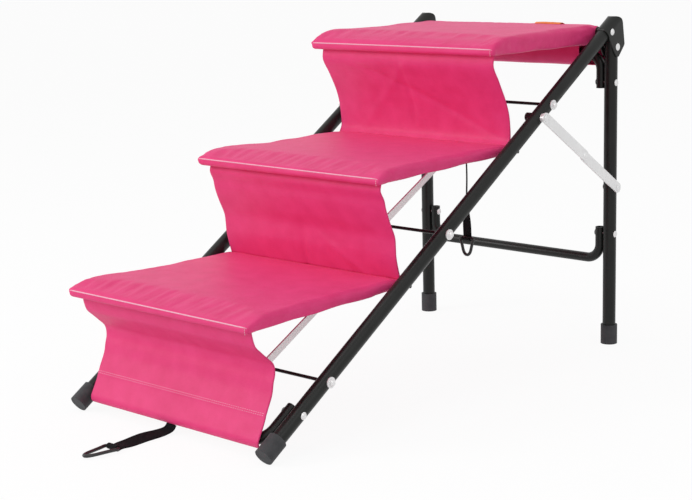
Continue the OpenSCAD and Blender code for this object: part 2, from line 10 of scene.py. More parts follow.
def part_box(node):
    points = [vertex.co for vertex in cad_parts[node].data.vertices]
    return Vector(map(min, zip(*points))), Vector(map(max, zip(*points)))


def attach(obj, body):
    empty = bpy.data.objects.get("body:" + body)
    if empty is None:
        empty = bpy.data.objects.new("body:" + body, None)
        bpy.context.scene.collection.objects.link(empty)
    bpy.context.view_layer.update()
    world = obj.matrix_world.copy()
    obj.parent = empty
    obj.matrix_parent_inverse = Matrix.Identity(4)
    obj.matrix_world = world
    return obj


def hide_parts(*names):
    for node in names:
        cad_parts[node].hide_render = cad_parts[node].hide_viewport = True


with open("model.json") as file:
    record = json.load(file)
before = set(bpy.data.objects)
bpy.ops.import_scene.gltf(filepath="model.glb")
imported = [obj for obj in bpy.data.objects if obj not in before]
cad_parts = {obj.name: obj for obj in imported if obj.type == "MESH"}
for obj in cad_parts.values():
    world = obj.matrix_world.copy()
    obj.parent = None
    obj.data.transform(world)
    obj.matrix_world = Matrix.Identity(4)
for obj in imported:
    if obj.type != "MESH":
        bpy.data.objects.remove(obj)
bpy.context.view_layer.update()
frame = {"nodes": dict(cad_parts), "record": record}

MM = 0.001

# Camera: its place in the frame, its turn and its lens
CAMERA_PLACE = Vector((1681.3, -1761.5, 698.4)) * MM
CAMERA_AZIMUTH = 0.753
CAMERA_PITCH = 0.196
CAMERA_ROLL = -0.025
LENS_MM = 82.53
SENSOR_MM = 36.0

# Cloth sizes
CLOTH_T = 1.4 * MM
CLOTH_GRID = 3.0 * MM
CROSS_R = 8 * MM
NOSE_HALF = 193 * MM
TREAD_HALF = 186 * MM
FACE_HALF = 181 * MM
FLAP_HALF = 184 * MM
HEM_HALF = 153 * MM
SEAM_BACK = 18 * MM
NOSE_R = 5.9 * MM
REAR_R = (7.3 * MM, 7.3 * MM, 9.9 * MM)
HEM_R = 9.2 * MM
PAD_CROWNS = (14.5 * MM, 14.5 * MM, 20.5 * MM)
PAD_ROUND = 50 * MM
PAD_EDGE = 6 * MM
TOP_PAD_DROP = 21.5 * MM
TOP_PAD_CORNER = 5 * MM
TAPER_AT = 199 * MM
PUFF_CELL = 4.5 * MM
PUFF_FRAMES = 16
PUFF_CAP = 2.2 * MM
PUFF_QUALITY = 6
PUFF_MASS = 0.2
PUFF_STIFFNESS = 12
PUFF_SHEAR = 6
PUFF_BENDING = 0.15
PUFF_SHRINK = -0.012
PUFF_PRESSURE = 4

# Bands of a step's cover that are held while it is filled
HOLD_FRONT = 3 * MM
HOLD_REAR = 2 * MM
HOLD_LOW = 2.5 * MM

# Least distance of a finished cover from the bars inside it, and its half width at the front bar
NOSE_COVER_R = 5.4 * MM
REAR_COVER_R = (6.6 * MM, 6.6 * MM, 9.4 * MM)
NOSE_COVER_HALF = 191.5 * MM

# Cross sections of a step: rows along it, columns over it and cuts round a corner
PAD_ROWS = 168
PAD_COLS = 96
CORNER_CUTS = 7
RISING = [math.pi / 2 * i / (CORNER_CUTS - 1) for i in range(CORNER_CUTS)]
FALLING = [math.pi / 2 - turn for turn in RISING]
PAD_LEAN = 3.5 * MM
PAD_WAVE = 0.9 * MM
END_WIDTH = 0.995
END_HEIGHT = 0.3

# The drawn-out left tip of a step's front edge
TIP_REACH = 3.5 * MM
TIP_RISE = 3 * MM
TIP_FLATTEN = 0.7
TIP_OVER_BAR = 1.5 * MM

# Cut edges, hem and flap
EDGE_WAVE = 0.8 * MM
FACE_1_RELIEF = 0.9
FOOT_SINK = 0.8 * MM
HEM_ROWS = (52 * MM, 56 * MM)
HEM_TOP_Z = 62 * MM
FLAP_DROP = 31 * MM
FLAP_BACK = 11 * MM
FLAP_STEP = 2.0 * MM
TUNNEL_FRONT = 22.5 * MM

# Blank tab
LABEL_T = 0.7 * MM
LABEL_SHIFT = 8 * MM
LABEL_STAND = 2.3 * MM
LABEL_FOLD = 2 * MM

# Stitches and beads; each stitch is four rings at shares of its length, with shares of its radius
STITCH_R = 0.5 * MM
STITCH_SIDES = 6
STITCH_RINGS = ((-0.5, 0.3), (-0.25, 1.0), (0.25, 1.0), (0.5, 0.3))
NOSING_STITCH_X = 187 * MM
# The front bead along each step's fold is drawn in the light thread colour as a painted highlight line
HIGHLIGHT_BEAD_R = 0.95 * MM
HIGHLIGHT_BEAD_SIDES = 8
HIGHLIGHT_BEAD_POINTS = 120
HIGHLIGHT_BEAD_ENDS = (-190 * MM, 189 * MM)

# Straps and rings
STRAP_STEP = 2.0 * MM
STRAP_LOOP_R = 3.7 * MM
STRAP_LOOP_CUTS = 12
FLOOR_STRAP_T = 1.5 * MM
HANG_STRAP_T = 1.4 * MM
HANG_STRAP_SHARE = 0.8
HANG_TWIST = 47
RIBBON_SHARES = (-0.5, -0.46, -0.3, -0.1, 0.1, 0.3, 0.46, 0.5)
RING_WIRE_R = 2.5 * MM
RING_INSET = 2 * MM
RING_SIDES = 12
RING_CUTS = 4

# Lights and surroundings
LIGHT_AIM = (0, 0, 0.25)
LIGHTS = (
    ("key_light", (-2.0, -2.6, 1.7), 1.4, 46),
    ("top_light", (0.1, -0.9, 3.2), 1.8, 12),
    ("side_light", (2.8, -0.8, 2.0), 1.8, 12),
)
ROOM_LIGHT = 0.52
FLOOR_REACH = 40.0
FLOOR_GLOW = 1.02
FLOOR_GLOW_SHARE = 0.9

# Front of a step over its bar in mm from the bar's axis: upright, with a narrow folded edge on top
NOSE_FRONT = ((-5.9, 0), (-5.85, 2.6), (-5.75, 4.6), (-4.9, 6.0), (-3.4, 6.3), (-1.2, 6.9))

# Rise of a step's top from its front edge: shares of the length and of the height
CROWN_SHARES = ((0.07, 0.56), (0.18, 0.7), (0.34, 0.83), (0.6, 0.94), (1, 1))
NOSE_TILT = 3 * MM

# Front faces: each row is a share of the drop and a share of the depth
FACE_1_DEPTH = 42 * MM
FACE_SHARES = (
    ((0.14, 0.14), (0.21, 0.4), (0.27, 0.64), (0.35, 0.93), (0.44, 0.98),
     (0.52, 0.9), (0.62, 0.81), (0.745, 0.6), (0.87, 0.4)),
    ((0.065, -0.05), (0.165, 0.13), (0.255, 0.21), (0.415, 0.45), (0.56, 0.69),
     (0.675, 0.73), (0.755, 0.75)),
    ((0.115, -0.04), (0.295, 0.38), (0.5, 0.83), (0.68, 1.08), (0.925, 1.16)),
)
FOOT_ANGLE = 80


# Node helpers

def new_material(name, base, rough, metallic=0.0, specular=0.5):
    mat = bpy.data.materials.new(name)
    mat.use_nodes = True
    bsdf = mat.node_tree.nodes["Principled BSDF"]
    bsdf.inputs["Base Color"].default_value = (*base, 1)
    bsdf.inputs["Roughness"].default_value = rough
    bsdf.inputs["Metallic"].default_value = metallic
    bsdf.inputs["Specular IOR Level"].default_value = specular
    return mat, mat.node_tree, bsdf


def link(tree, a, b):
    tree.links.new(a, b)


def coords(tree, scale=(1, 1, 1)):
    place = tree.nodes.new("ShaderNodeTexCoord")
    mapping = tree.nodes.new("ShaderNodeMapping")
    mapping.inputs["Scale"].default_value = scale
    link(tree, place.outputs["Object"], mapping.inputs["Vector"])
    return mapping.outputs["Vector"]


def noise_tex(tree, vector, scale, detail=3.0, rough=0.5):
    tex = tree.nodes.new("ShaderNodeTexNoise")
    tex.inputs["Scale"].default_value = scale
    tex.inputs["Detail"].default_value = detail
    tex.inputs["Roughness"].default_value = rough
    link(tree, vector, tex.inputs["Vector"])
    return tex.outputs["Fac"]


def ramp(tree, fac, low, high, start=0.3, end=0.7):
    node = tree.nodes.new("ShaderNodeValToRGB")
    node.color_ramp.elements[0].position = start
    node.color_ramp.elements[0].color = (*low, 1)
    node.color_ramp.elements[1].position = end
    node.color_ramp.elements[1].color = (*high, 1)
    link(tree, fac, node.inputs["Fac"])
    return node.outputs["Color"]


def number_ramp(tree, fac, low, high, start=0.3, end=0.7):
    node = tree.nodes.new("ShaderNodeMapRange")
    node.inputs["From Min"].default_value = start
    node.inputs["From Max"].default_value = end
    node.inputs["To Min"].default_value = low
    node.inputs["To Max"].default_value = high
    link(tree, fac, node.inputs["Value"])
    return node.outputs["Result"]


def bump(tree, bsdf, height, strength, distance, below=None):
    node = tree.nodes.new("ShaderNodeBump")
    node.inputs["Strength"].default_value = strength
    node.inputs["Distance"].default_value = distance
    link(tree, height, node.inputs["Height"])
    if below is not None:
        link(tree, below, node.inputs["Normal"])
    link(tree, node.outputs["Normal"], bsdf.inputs["Normal"])
    return node.outputs["Normal"]


def weave(tree, vector, pitch):
    """Over-and-under threads as the sum of two fine waves."""
    made = []
    for direction in ("X", "Y"):
        wave = tree.nodes.new("ShaderNodeTexWave")
        wave.wave_type = "BANDS"
        wave.bands_direction = direction
        wave.inputs["Scale"].default_value = 1 / pitch / 6.2832 * 2
        wave.inputs["Distortion"].default_value = 0.6
        wave.inputs["Detail"].default_value = 1
        link(tree, vector, wave.inputs["Vector"])
        made.append(wave.outputs["Fac"])
    mix = tree.nodes.new("ShaderNodeMath")
    mix.operation = "ADD"
    link(tree, made[0], mix.inputs[0])
    link(tree, made[1], mix.inputs[1])
    return mix.outputs["Value"]


# Materials

def mottled_material(name, base, rough, spots, low, high, specular=0.5):
    """A material whose colour wanders between two tones, with its tree, place and pattern."""
    mat, tree, bsdf = new_material(name, base, rough, specular=specular)
    flat = coords(tree)
    mottle = noise_tex(tree, flat, *spots)
    link(tree, ramp(tree, mottle, low, high), bsdf.inputs["Base Color"])
    return mat, tree, bsdf, flat, mottle


def cloth_material():
    mat, tree, bsdf, flat, _ = mottled_material(
        "pink_canvas", (0.82, 0.042, 0.205), 0.5, (38, 4),
        (0.79, 0.037, 0.19), (0.85, 0.05, 0.225), specular=0.32)
    grain = noise_tex(tree, flat, 620, 2, 0.6)
    link(tree, number_ramp(tree, grain, 0.44, 0.64), bsdf.inputs["Roughness"])
    soft = bump(tree, bsdf, noise_tex(tree, flat, 60, 3), 0.12, 0.0012)
    threads = bump(tree, bsdf, weave(tree, flat, 0.0009), 0.12, 0.0002, soft)
    bump(tree, bsdf, grain, 0.32, 0.0005, threads)
    bsdf.inputs["Sheen Weight"].default_value = 0.07
    bsdf.inputs["Sheen Roughness"].default_value = 0.5
    bsdf.inputs["Sheen Tint"].default_value = (1, 0.6, 0.75, 1)
    return mat


def frame_material():
    mat, tree, bsdf, flat, wear = mottled_material(
        "black_coat", (0.008, 0.009, 0.008), 0.36, (30, 5),
        (0.006, 0.007, 0.006), (0.012, 0.013, 0.012), specular=0.28)
    link(tree, number_ramp(tree, wear, 0.3, 0.46), bsdf.inputs["Roughness"])
    bump(tree, bsdf, noise_tex(tree, flat, 900, 2), 0.1, 0.0002)
    return mat


def bright_material(name, rough, streak):
    mat, tree, bsdf = new_material(name, (0.95, 0.95, 0.95), rough, metallic=0.25)
    brushed = noise_tex(tree, coords(tree, streak), 60, 4)
    tone = ramp(tree, brushed, (0.88, 0.88, 0.885), (0.97, 0.97, 0.97))
    link(tree, tone, bsdf.inputs["Base Color"])
    link(tree, number_ramp(tree, brushed, rough - 0.08, rough + 0.1), bsdf.inputs["Roughness"])
    bump(tree, bsdf, brushed, 0.08, 0.0002)
    return mat


def grained_material(name, base, rough, spots, low, high, grain, strength, depth):
    mat, tree, bsdf, flat, _ = mottled_material(name, base, rough, spots, low, high)
    bump(tree, bsdf, noise_tex(tree, flat, *grain), strength, depth)
    return mat


def woven_material(name, base, rough, spots, low, high, pitch, strength, depth, specular=0.5):
    mat, tree, bsdf, flat, _ = mottled_material(name, base, rough, spots, low, high, specular)
    bump(tree, bsdf, weave(tree, flat, pitch), strength, depth)
    return mat


CLOTH = cloth_material()
COAT = frame_material()
RUBBER = grained_material("foot_rubber", (0.03, 0.031, 0.034), 0.7, (60, 5),
                          (0.024, 0.025, 0.028), (0.05, 0.051, 0.055), (700, 3), 0.25, 0.0003)
BAR_STEEL = bright_material("bright_bar", 0.34, (1, 1, 0.15))
FASTENER_STEEL = bright_material("bright_fastener", 0.24, (1, 1, 1))
WEBBING = woven_material("black_webbing", (0.008, 0.008, 0.009), 0.8, (300, 3),
                         (0.004, 0.004, 0.005), (0.012, 0.012, 0.013), 0.0016, 0.5, 0.0005, 0.12)
PLASTIC = grained_material("black_plastic", (0.012, 0.012, 0.012), 0.42, (90, 4),
                           (0.009, 0.009, 0.009), (0.018, 0.018, 0.018), (500, 2), 0.12, 0.0002)
LABEL = woven_material("orange_tab", (0.9, 0.22, 0.04), 0.6, (120, 3),
                       (0.84, 0.19, 0.035), (0.94, 0.27, 0.06), 0.0008, 0.2, 0.0002)
# Light pink for the real stitches; the same colour on the front beads is a painted highlight along each
# step's fold
THREAD_AND_HIGHLIGHT = grained_material("pink_thread", (0.9, 0.45, 0.58), 0.6, (500, 2),
                          (0.86, 0.38, 0.52), (0.95, 0.55, 0.66), (1500, 2), 0.3, 0.0002)

SLOT_MATERIALS = {
    "painted_tube": COAT,
    "painted_sheet": COAT,
    "foot_rubber": RUBBER,
    "bright_bar": BAR_STEEL,
    "bright_fasteners": FASTENER_STEEL,
    "knob_plastic": PLASTIC,
    "ring_plastic": PLASTIC,
    "strap_webbing": WEBBING,
    "step_cloth": CLOTH,
    "label_cloth": LABEL,
}


def dress_cad_nodes():
    for part in frame["record"]["subparts"]:
        node = frame["nodes"][part["node"]]
        node.data.materials.clear()
        node.data.materials.append(SLOT_MATERIALS[part["material_slot"]])


# Path helpers: side profiles are lists of (y, z) in metres

def middle(node):
    low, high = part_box(node)
    return np.array(((low.y + high.y) / 2, (low.z + high.z) / 2))


def arc(centre, radius, start, end, step=10):
    count = max(2, math.ceil(abs(end - start) / step))
    turns = [math.radians(start + (end - start) * i / count) for i in range(count + 1)]
    return [centre + radius * np.array((math.cos(w), math.sin(w))) for w in turns]


def smooth(points, step):
    """Centripetal spline through the points, cut into even steps, and the distance at each."""
    p = np.array(points, float)
    p = np.vstack((2 * p[0] - p[1], p, 2 * p[-1] - p[-2]))
    made = []
    for i in range(1, len(p) - 2):
        a, b, c, d = p[i - 1:i + 3]
        t0 = 0.0
        t1 = t0 + max(np.linalg.norm(b - a), 1e-9) ** 0.5
        t2 = t1 + max(np.linalg.norm(c - b), 1e-9) ** 0.5
        t3 = t2 + max(np.linalg.norm(d - c), 1e-9) ** 0.5
        for t in np.linspace(t1, t2, 12, endpoint=False):
            a1 = (t1 - t) / (t1 - t0) * a + (t - t0) / (t1 - t0) * b
            a2 = (t2 - t) / (t2 - t1) * b + (t - t1) / (t2 - t1) * c
            a3 = (t3 - t) / (t3 - t2) * c + (t - t2) / (t3 - t2) * d
            b1 = (t2 - t) / (t2 - t0) * a1 + (t - t0) / (t2 - t0) * a2
            b2 = (t3 - t) / (t3 - t1) * a2 + (t - t1) / (t3 - t1) * a3
            made.append((t2 - t) / (t2 - t1) * b1 + (t - t1) / (t2 - t1) * b2)
    made.append(p[-2])
    made = np.array(made)
    run = np.concatenate(([0], np.cumsum(np.linalg.norm(np.diff(made, axis=0), axis=1))))
    count = max(2, int(round(run[-1] / step)))
    even = np.linspace(0, run[-1], count + 1)
    return np.stack([np.interp(even, run, made[:, k]) for k in range(p.shape[1])], axis=1), even


def straight(a, b, step=20 * MM):
    """Points from a to b, both left out, that keep a spline straight."""
    a, b = np.array(a), np.array(b)
    count = max(2, int(np.linalg.norm(b - a) / step))
    return [a + (b - a) * i / count for i in range(1, count)]


def normals(path):
    d = np.gradient(path, axis=0)
    d /= np.linalg.norm(d, axis=1)[:, None]
    return np.stack((-d[:, 1], d[:, 0]), axis=1)


def mesh_object(name, verts, faces, material, smooth_faces=True):
    mesh = bpy.data.meshes.new(name)
    mesh.from_pydata([tuple(v) for v in verts], [], faces)
    mesh.update()
    obj = bpy.data.objects.new(name, mesh)
    bpy.context.scene.collection.objects.link(obj)
    mesh.materials.append(material)
    if smooth_faces:
        mesh.shade_smooth()
    return obj


def grid_faces(rows, cols):
    return [(r * cols + c, r * cols + c + 1, (r + 1) * cols + c + 1, (r + 1) * cols + c)
            for r in range(rows - 1) for c in range(cols - 1)]


def circle(sides):
    return [2 * math.pi * w / sides for w in range(sides)]


def tube_faces(rings, sides, base=0, closed=False):
    """Quads between rings of vertices, numbered from base; closed joins the last ring to the first."""
    faces = []
    for i in range(rings if closed else rings - 1):
        a, b = base + i * sides, base + (i + 1) % rings * sides
        for w in range(sides):
            v = (w + 1) % sides
            faces.append((a + w, a + v, b + v, b + w))
    return faces


def end_faces(rings, sides, base=0):
    last = base + (rings - 1) * sides
    return [tuple(range(base + sides - 1, base - 1, -1)), tuple(range(last, last + sides))]


def solidify(obj, thickness):
    mod = obj.modifiers.new("thickness", "SOLIDIFY")
    mod.thickness = thickness
    mod.offset = 0
    mod.use_even_offset = False


def bell(x, centre, width):
    return math.exp(-((x - centre) / width) ** 2)


def ease(x, low, high):
    t = min(1.0, max(0.0, (x - low) / (high - low)))
    return t * t * (3 - 2 * t)


def undulation(x, s, scale, seed):
    return noise.noise(Vector((x / scale, s / scale, seed)))


def cloth_sheet(name, path, steps, half_at, lift_at, seed):
    """A sheet whose side profile is path; half_at(s) is its half width, lift_at(x, s) its relief."""
    cols = int(2 * NOSE_HALF / CLOTH_GRID) + 1
    verts = []
    for point, n, s in zip(path, normals(path), steps):
        half = half_at(s)
        for c in range(cols):
            u = 2 * c / (cols - 1) - 1
            wave = undulation(0.3 * math.copysign(1, u), s, 35 * MM, seed + 7)
            x = u * (half + EDGE_WAVE * wave * abs(u) ** 6)
            lift = lift_at(x, s)
            verts.append((x, point[0] + n[0] * lift, point[1] + n[1] * lift))
    obj = mesh_object(name, verts, grid_faces(len(path), cols), CLOTH)
    solidify(obj, CLOTH_T)
    return obj


NOSES = [middle(f"nose_bar_{k}") for k in (1, 2, 3)]
REARS = [middle("crease_bar_1"), middle("crease_bar_2"), middle("top_crossbar")]
front_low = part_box("front_crossbar")[0]
FRONT_BAR = np.array((front_low.y + CROSS_R, front_low.z + CROSS_R))
HINGE = np.array(frame["record"]["behaviour"]["joints"][0]["pos_m"][1:])


def seam_point(k):
    """The seam under a step where its front face starts."""
    return np.array((NOSES[k][0] - NOSE_R + SEAM_BACK, NOSES[k][1] - NOSE_R))


def face_path(k):
    """From the seam down the front face to its foot."""
    top = seam_point(k)
    if k == 0:
        low, depth = arc(FRONT_BAR, HEM_R, 150, 160)[0], FACE_1_DEPTH
    else:
        turn = math.radians(FOOT_ANGLE)
        aside = np.array((math.cos(turn), math.sin(turn)))
        low = REARS[k - 1] + (REAR_R[k - 1] - FOOT_SINK) * aside
        depth = low[0] - top[0]
    into = [top + np.array((0, 1.5 * MM)), top - np.array((0, 0.6 * MM))]
    return into + [np.array((top[0] + d * depth, top[1] - v * (top[1] - low[1])))
                   for v, d in FACE_SHARES[k]] + [low]


def pad_curves(k):
    """The step's top and underside as heights over y, from its front tip to its rear."""
    nose, rear, r = NOSES[k], REARS[k], REAR_R[k]
    top = [nose + np.array(q) * MM for q in NOSE_FRONT]
    top += [nose + np.array((a * PAD_ROUND, b * PAD_CROWNS[k])) for a, b in CROWN_SHARES]
    top += straight(top[-1], rear + np.array((-4 * MM, r - 0.5 * MM)))
    top = list(smooth(top, 0.4 * MM)[0]) + arc(rear, r, 90, 0, 4)
    low = arc(nose, NOSE_R, 180, 270, 4)
    if k < 2:
        low += arc(rear, r, -90, 0, 4)
    else:
        corner = rear + np.array((r - TOP_PAD_CORNER, TOP_PAD_CORNER - TOP_PAD_DROP))
        low += arc(corner, TOP_PAD_CORNER, -90, 0, 4) + [rear + np.array((r, 0))]
    return np.array(top), np.array(low)


def pad_half(k, y):
    """Half width of step k at y: full in front, narrower between the rails."""
    return float(np.interp(y, (NOSES[k][0], NOSES[k][0] + TAPER_AT), (NOSE_HALF, TREAD_HALF)))


def pad_rows(k):
    """Heights of the step's top and underside, close together near its ends, and the ends themselves."""
    top, low = pad_curves(k)
    y0, y1 = top[0][0], top[-1][0]
    rows = []
    for i in range(1, PAD_ROWS):
        y = y0 + (y1 - y0) * (1 - math.cos(math.pi * i / PAD_ROWS)) / 2
        rows.append((y, float(np.interp(y, top[:, 0], top[:, 1])),
                     float(np.interp(y, low[:, 0], low[:, 1]))))
    return rows, (y0, top[0][1]), (y1, (rows[-1][1] + rows[-1][2]) / 2)


def pad_relief(k, x, y, share):
    """Soft waves of the step's top; share is the distance along it from 0 to 1."""
    mid = math.sin(math.pi * min(1, max(0, share))) ** 0.5
    out = 1.3 * MM * mid * math.cos(x / NOSE_HALF * math.pi / 2)
    out += 0.8 * MM * mid * undulation(x, y, 110 * MM, 3.7 + 9 * k)
    out += 0.35 * MM * undulation(x, y, 34 * MM, 5.1 + 9 * k)
    front = 1 - ease(y - NOSES[k][0], 20 * MM, 150 * MM)
    out += NOSE_TILT * front * ease(-x, -150 * MM, 190 * MM)
    near_side = bell(abs(x), 172 * MM, 10 * MM)
    out += 0.5 * MM * near_side * math.sin(y / (13 * MM) + 2.1 * k + (1.3 if x > 0 else 0))
    return out


def pad_ring(half, z_top, z_low, edge, lean, wave):
    """One cross section: from its right side over the top and back along the underside."""
    ring = []
    for side, up, tuck, z_flat, shift in ((1, -1, 0.0, z_top, 0.0), (-1, 1, lean, z_low, wave)):
        reach, inner = half - tuck, half - edge - tuck
        for sense, turns in ((side, RISING), (-side, FALLING)):
            ring += [(sense * (reach - edge * (1 - math.cos(turn))),
                      z_flat + up * edge * (1 - math.sin(turn)) + shift) for turn in turns]
            if sense == side:
                ring += [(side * (inner - 2 * inner * j / PAD_COLS), z_flat)
                         for j in range(1, PAD_COLS)]
    return ring


def step_pad(k):
    """A padded step: rounded cross sections set one behind the other, with puckered sides."""
    rows, front, rear = pad_rows(k)
    verts = []
    for y, z_top, z_low in rows:
        share = (y - rows[0][0]) / (rows[-1][0] - rows[0][0])
        high = (z_top - z_low) / 2
        edge = min(PAD_EDGE, high * 0.98)
        lean = PAD_LEAN * ease(high, 5 * MM, 11 * MM)
        wave = PAD_WAVE * math.sin(y / (16 * MM) + k) * ease(share, 0.05, 0.3)
        ring = pad_ring(pad_half(k, y), z_top, z_low, edge, lean, wave)
        tip_fade = 1 - ease(y - NOSES[k][0], 6 * MM, 60 * MM)
        tip_z = NOSES[k][1] + TIP_OVER_BAR
        for x, z in ring:
            z += ease(z, (z_top + z_low) / 2, z_top) * pad_relief(k, x, y, share)
            tip = tip_fade * ease(-x, 188 * MM, NOSE_HALF)
            z = tip_z + (z - tip_z) * (1 - TIP_FLATTEN * tip) + TIP_RISE * tip
            verts.append((x - TIP_REACH * tip, y, z))
    count = len(ring)
    faces = tube_faces(len(rows), count)
    for row, (y, z), flip in ((0, front, False), (len(rows) - 1, rear, True)):
        base = row * count
        start = len(verts)
        verts += [(x * END_WIDTH, y, z + (pz - z) * END_HEIGHT)
                  for x, _, pz in verts[base:base + count]]
        quads = [(base + c, base + (c + 1) % count, start + (c + 1) % count, start + c)
                 for c in range(count)]
        quads += [(start + c, start + c + 1, start + count - 2 - c, start + count - 1 - c)
                  for c in range(count // 2 - 1)]
        faces += quads if flip else [quad[::-1] for quad in quads]
    obj = mesh_object(f"step_pad_{k + 1}", verts, faces, CLOTH)
    bm = bmesh.new()
    bm.from_mesh(obj.data)
    bmesh.ops.remove_doubles(bm, verts=bm.verts, dist=0.01 * MM)
    bmesh.ops.recalc_face_normals(bm, faces=bm.faces)
    bm.to_mesh(obj.data)
    bm.free()
    return obj


def evaluated_mesh(obj):
    depsgraph = bpy.context.evaluated_depsgraph_get()
    return bpy.data.meshes.new_from_object(obj.evaluated_get(depsgraph))


def put_mesh(obj, mesh):
    """Gives the object a new mesh and leaves it with no modifiers."""
    old = obj.data
    obj.modifiers.clear()
    obj.data = mesh
    bpy.data.meshes.remove(old)


def puff(obj, k):
    """Fills the step's cover with pressure: held on its bars and along its lower edges, loose on top."""
    remesh = obj.modifiers.new("cells", "REMESH")
    remesh.mode = "VOXEL"
    remesh.voxel_size = PUFF_CELL
    put_mesh(obj, evaluated_mesh(obj))
    rest = np.array([v.co for v in obj.data.vertices])
    nose, rear = NOSES[k], REARS[k]
    low_line = pad_curves(k)[1]
    held = obj.vertex_groups.new(name="held")
    for i, (_, y, z) in enumerate(rest):
        low = float(np.interp(y, low_line[:, 0], low_line[:, 1]))
        if y < nose[0] + HOLD_FRONT or y > rear[0] - HOLD_REAR or z < low + HOLD_LOW:
            held.add([i], 1.0, "REPLACE")
    cloth = obj.modifiers.new("puff", "CLOTH")
    cloth.settings.quality = PUFF_QUALITY
    cloth.settings.mass = PUFF_MASS
    cloth.settings.tension_stiffness = PUFF_STIFFNESS
    cloth.settings.compression_stiffness = PUFF_STIFFNESS
    cloth.settings.shear_stiffness = PUFF_SHEAR
    cloth.settings.bending_stiffness = PUFF_BENDING
    cloth.settings.shrink_min = PUFF_SHRINK
    cloth.settings.use_pressure = True
    cloth.settings.uniform_pressure_force = PUFF_PRESSURE
    cloth.settings.vertex_group_mass = "held"
    cloth.settings.effector_weights.gravity = 0
    cloth.collision_settings.use_collision = False
    for f in range(1, PUFF_FRAMES + 1):
        bpy.context.scene.frame_set(f)
    mesh = evaluated_mesh(obj)
    moved = np.array([v.co for v in mesh.vertices]) - rest
    far = np.linalg.norm(moved, axis=1)
    scale = np.minimum(1, PUFF_CAP / np.maximum(far, 1e-9))
    for v, start, step in zip(mesh.vertices, rest, moved * scale[:, None]):
        v.co = start + step
    put_mesh(obj, mesh)
    bpy.context.scene.frame_set(1)
    obj.data.shade_smooth()
    divide = obj.modifiers.new("finer", "SUBSURF")
    divide.levels = 1
    divide.render_levels = 1
    put_mesh(obj, evaluated_mesh(obj))
    cover_bar(obj, nose, NOSE_COVER_R, NOSE_COVER_HALF)
    cover_bar(obj, rear, REAR_COVER_R[k], TREAD_HALF)


def cover_bar(obj, centre, radius, half):
    """Pushes the cover off the bar inside it, outwards and past the bar's ends."""
    for v in obj.data.vertices:
        off = Vector((0, v.co.y - centre[0], v.co.z - centre[1]))
        if off.length >= radius:
            continue
        if abs(v.co.x) > half - 5 * MM and off.length < 0.8 * radius:
            v.co.x = math.copysign(max(abs(v.co.x), half), v.co.x)
        elif abs(v.co.x) < half:
            v.co += off.normalized() * (radius - off.length)


def face_relief(k, x, f):
    """Wrinkles of front face k; f is the share of its drop, 0 at the top seam."""
    hang = math.sin(math.pi * min(1, max(0, f))) ** 0.6
    out = hang * 1.3 * MM * undulation(x, f * 0.16, 70 * MM, 31 + 5 * k)
    out += hang * 0.5 * MM * undulation(x, f * 0.16, 26 * MM, 41 + 5 * k)
    if k == 1:
        low = ease(f, 0.5, 0.8)
        out += low * 1.8 * MM * bell(x, -8 * MM, 9 * MM)
        out -= low * 1.4 * MM * bell(x - (f - 0.6) * 0.25, 18 * MM, 14 * MM)
    if k == 2:
        out += hang * 1.3 * MM * bell(x, -14 * MM, 6 * MM)
        out -= hang * 1.2 * MM * bell(x + (f - 0.3) * 0.16, -30 * MM, 13 * MM)
        out += hang * 1.5 * MM * bell(x - f * 0.35, -165 * MM, 16 * MM)
    return out


def on_frame(obj):
    """Lets a piece ride on the frame."""
    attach(obj, "stair_frame")


def hang_sheet(obj, flat, rests_on, node=None):
    """Lets a hanging sheet of the cover ride on the frame, and hides the CAD node that it stands for if
    there is one.
    """
    if node is not None:
        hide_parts(node)
    on_frame(obj)


def upper_face(k):
    """The front face of step k from its seam to its foot on the step below."""
    path, steps = smooth(face_path(k), CLOTH_GRID)
    total = steps[-1]
    obj = cloth_sheet(f"front_face_{k + 1}", path, steps, lambda s: FACE_HALF,
                      lambda x, s: face_relief(k, x, s / total), 9.0 + k)
    return obj, (2 * FACE_HALF, total)


def flap_points():
    rear, back, low = REARS[2], HINGE[0] + FLAP_BACK, HINGE[1] - FLAP_DROP
    return [rear + np.array((6 * MM, 6 * MM)), rear + np.array((10.6 * MM, 1 * MM)),
            np.array((back - 1 * MM, HINGE[1] - 1 * MM)), np.array((back, HINGE[1] - 12 * MM)),
            np.array((back, low + 6 * MM)), np.array((back - 3 * MM, low + 1.2 * MM)),
            np.array((back - 9 * MM, low))]


def rear_flap():
    """The flap behind the top step, down behind the legs' crossbar."""
    path, steps = smooth(flap_points(), FLAP_STEP)

    def half(s):
        return float(np.interp(s, (0, 30 * MM), (FLAP_HALF - 3 * MM, FLAP_HALF)))

    def lift(x, s):
        relief = 0.8 * MM * undulation(x, s * 0.2, 60 * MM, 77)
        relief += 0.25 * MM * undulation(x, s * 0.2, 21 * MM, 78)
        return ease(s, 8 * MM, 30 * MM) * relief

    obj = cloth_sheet("rear_flap_cloth", path, steps, half, lift, 15.0)
    return obj, (2 * FLAP_HALF, steps[-1])


def rear_tunnel():
    """The flap's inner layer: forward under the legs' crossbar and up, clear of its swing."""
    low, front = HINGE[1] - FLAP_DROP, HINGE[0] - TUNNEL_FRONT
    points = [np.array((HINGE[0] + 3.5 * MM, low - 0.2 * MM)),
              np.array((HINGE[0] - 8 * MM, low + 0.4 * MM)),
              np.array((front + 5 * MM, low + 4 * MM)), np.array((front, low + 13 * MM)),
              np.array((front - 0.5 * MM, low + 24 * MM)), np.array((front + 0.5 * MM, low + 35 * MM))]
    path, steps = smooth(points, FLAP_STEP)
    total = steps[-1]

    def lift(x, s):
        return 0.9 * MM * undulation(x, s * 0.2, 55 * MM, 87) * math.sin(math.pi * s / total)

    obj = cloth_sheet("rear_tunnel_cloth", path, steps, lambda s: HEM_HALF, lift, 17.0)
    return obj, (2 * HEM_HALF, total)


